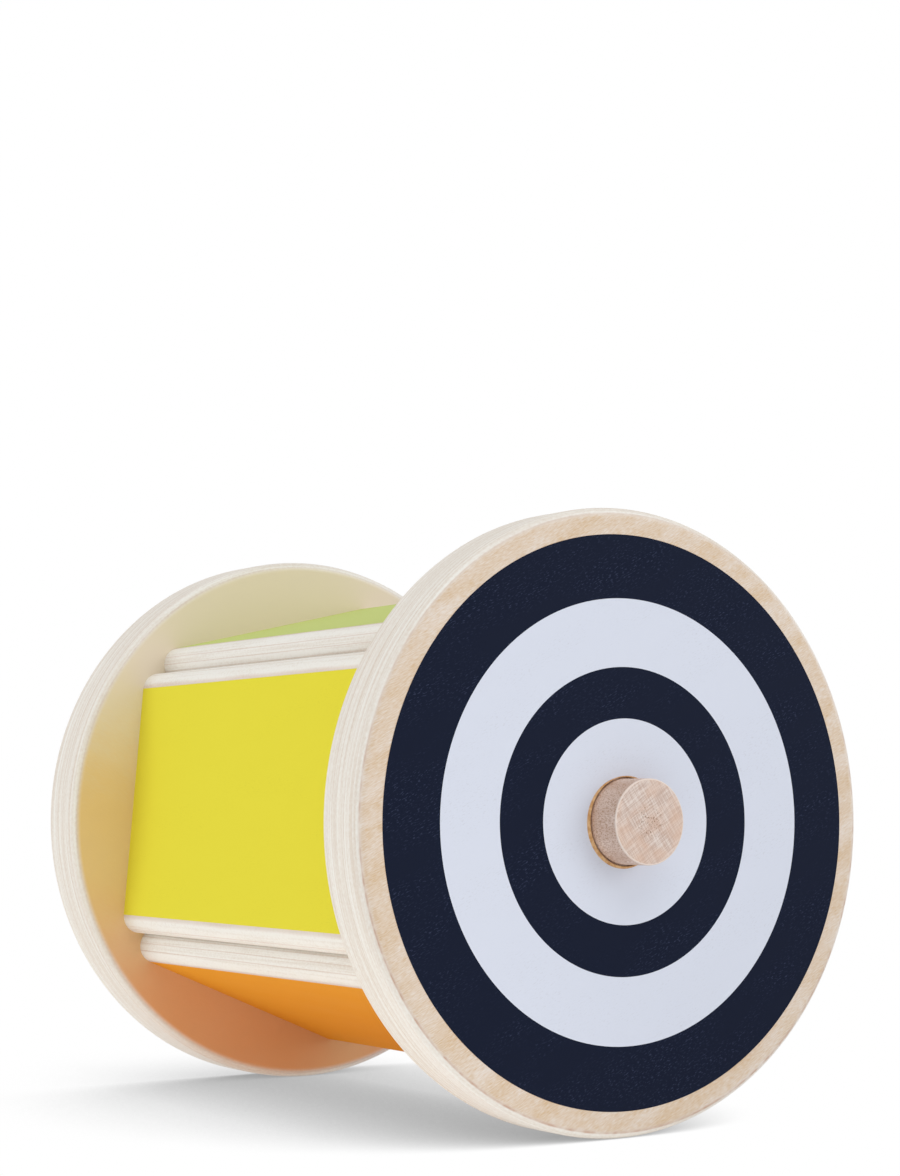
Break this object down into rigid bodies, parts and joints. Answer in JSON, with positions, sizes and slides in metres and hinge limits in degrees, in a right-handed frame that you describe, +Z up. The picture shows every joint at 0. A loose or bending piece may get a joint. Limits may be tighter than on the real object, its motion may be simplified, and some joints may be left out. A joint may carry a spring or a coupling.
{
  "type": "wooden rolling drum toy",
  "caption": "Wooden baby roller: printed plywood discs joined by coloured round-edged boards, turning freely on a beech axle whose ends stand out to be held.",
  "frame": {"origin": "middle of the drum, on the axle's centre line", "axes": "+Y along the axle from the front disc to the rear disc, +Z up, +X to the right when looking at the front disc"},
  "size_m": [0.11, 0.135, 0.11],
  "materials": {
    "ringed_disc": "sanded birch plywood with dark blue and pale rings printed on the outer face",
    "beech_dowel": "sanded bare beech dowel",
    "yellow_print": "matt yellow print on the outer face of a plywood board, with bare round edges",
    "green_print": "matt green print on the outer face of a plywood board, with bare round edges",
    "blue_print": "matt blue print on the outer face of a plywood board, with bare round edges",
    "red_print": "matt red print on the outer face of a plywood board, with bare round edges",
    "orange_print": "matt orange print on the outer face of a plywood board, with bare round edges"
  },
  "bodies": {
    "drum": {"front_disc": "ringed_disc", "rear_disc": "ringed_disc", "yellow_board": "yellow_print", "green_board": "green_print", "blue_board": "blue_print", "red_board": "red_print", "orange_board": "orange_print", "yellow_front_pins": "beech_dowel", "green_front_pins": "beech_dowel", "blue_front_pins": "beech_dowel", "red_front_pins": "beech_dowel", "orange_front_pins": "beech_dowel", "yellow_rear_pins": "beech_dowel", "green_rear_pins": "beech_dowel", "blue_rear_pins": "beech_dowel", "red_rear_pins": "beech_dowel", "orange_rear_pins": "beech_dowel"},
    "axle": {"axle": "beech_dowel", "front_collar": "beech_dowel", "rear_collar": "beech_dowel"}
  },
  "joints": [
    {"name": "axle_turn", "type": "hinge", "parent": "drum", "child": "axle", "pos_m": [0, 0, 0], "axis": [0, 1, 0], "continuous": true}
  ]
}
